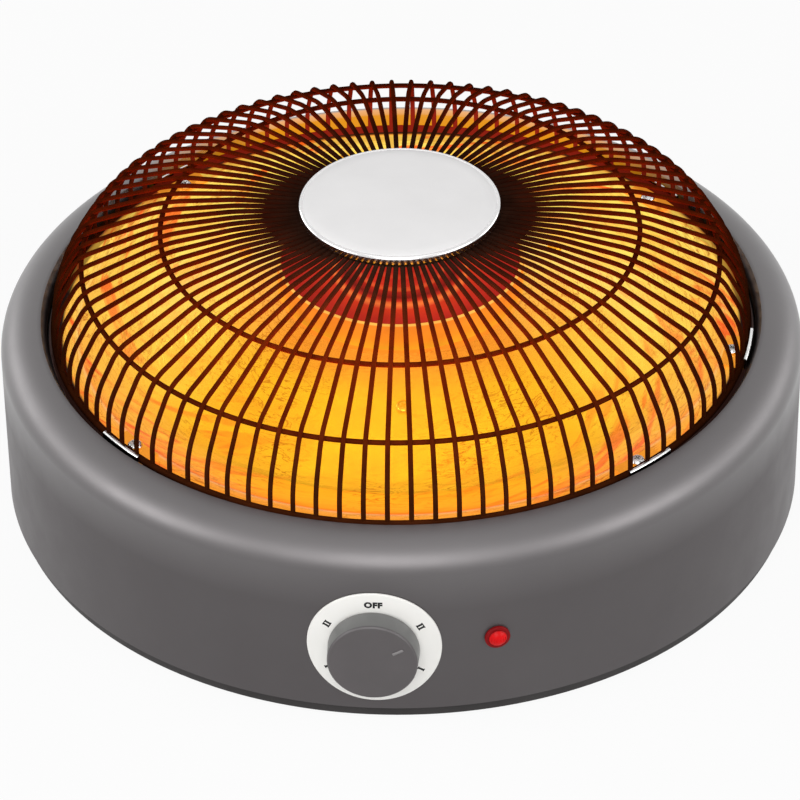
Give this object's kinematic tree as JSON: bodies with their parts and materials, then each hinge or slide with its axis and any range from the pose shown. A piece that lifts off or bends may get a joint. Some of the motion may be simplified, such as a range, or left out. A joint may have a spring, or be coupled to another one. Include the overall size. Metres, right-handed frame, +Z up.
{
  "type": "electric brazier heater",
  "caption": "Round electric brazier heater: low painted drum, glowing reflector dish and radiant pan under a domed radial wire guard, rotary switch and indicator lamp on the wall.",
  "frame": {"origin": "on the floor, under the middle of the round body; rest pose has the knob's pointer at its second mark to the right", "axes": "+Z up through the centre disc; -Y towards the rotary switch, the front; +X to the right seen from the front"},
  "size_m": [0.39, 0.4164, 0.1616],
  "materials": {
    "grey_paint": "satin",
    "black_paint": "satin",
    "black_wire": "satin",
    "bright_reflector": "polished",
    "bright_steel": "bright zinc",
    "silver_plate": "satin",
    "hot_steel": "matte",
    "ceramic": "matte",
    "element_tube": "oxidised",
    "rubber": "matte",
    "grey_plastic": "satin metallic",
    "black_plastic": "matte",
    "white_plastic": "matte",
    "red_lens": "gloss",
    "red_lead": "silicone"
  },
  "bodies": {
    "housing": {"base_plate": "black_paint", "base_screw_1": "bright_steel", "base_screw_2": "bright_steel", "base_screw_3": "bright_steel", "base_screw_4": "bright_steel", "body_shell": "grey_paint", "centre_disc": "silver_plate", "ceramic_core": "ceramic", "clip_screw_1": "bright_steel", "clip_screw_2": "bright_steel", "clip_screw_3": "bright_steel", "clip_screw_4": "bright_steel", "clip_screw_5": "bright_steel", "cord_gland": "black_plastic", "core_bridge": "bright_steel", "core_stud": "bright_steel", "disc_nut": "bright_steel", "disc_spacer": "bright_steel", "disc_stud": "bright_steel", "dish_leg_1": "bright_steel", "dish_leg_2": "bright_steel", "dish_leg_3": "bright_steel", "dish_screw_1": "bright_steel", "dish_screw_2": "bright_steel", "dish_screw_3": "bright_steel", "element_inner": "element_tube", "element_outer": "element_tube", "foot_1": "rubber", "foot_2": "rubber", "foot_3": "rubber", "foot_4": "rubber", "gland_nut": "black_plastic", "guard": "black_wire", "guard_clip_1": "bright_steel", "guard_clip_2": "bright_steel", "guard_clip_3": "bright_steel", "guard_clip_4": "bright_steel", "guard_clip_5": "bright_steel", "guard_ring_lower": "black_wire", "guard_ring_upper": "black_wire", "hub_clamp_plate": "black_paint", "hub_plate": "black_paint", "indicator_holder": "black_plastic", "indicator_lens": "red_lens", "lead_feed": "red_lead", "lead_high": "red_lead", "lead_low": "red_lead", "lead_return": "red_lead", "pan_nut": "bright_steel", "radiant_pan": "hot_steel", "reflector_dish": "bright_reflector", "stud_nut": "bright_steel", "switch_bezel": "silver_plate", "switch_body": "black_plastic", "switch_nut": "bright_steel", "terminal_block": "white_plastic", "thermal_cutout": "black_plastic"},
    "knob": {"control_knob": "grey_plastic", "switch_shaft": "bright_steel"}
  },
  "joints": [
    {"name": "knob_turn", "type": "hinge", "parent": "housing", "child": "knob", "pos_m": [0, -0.197, 0.0443], "axis": [0, 1, 0], "range_deg": [-180, 60]}
  ]
}
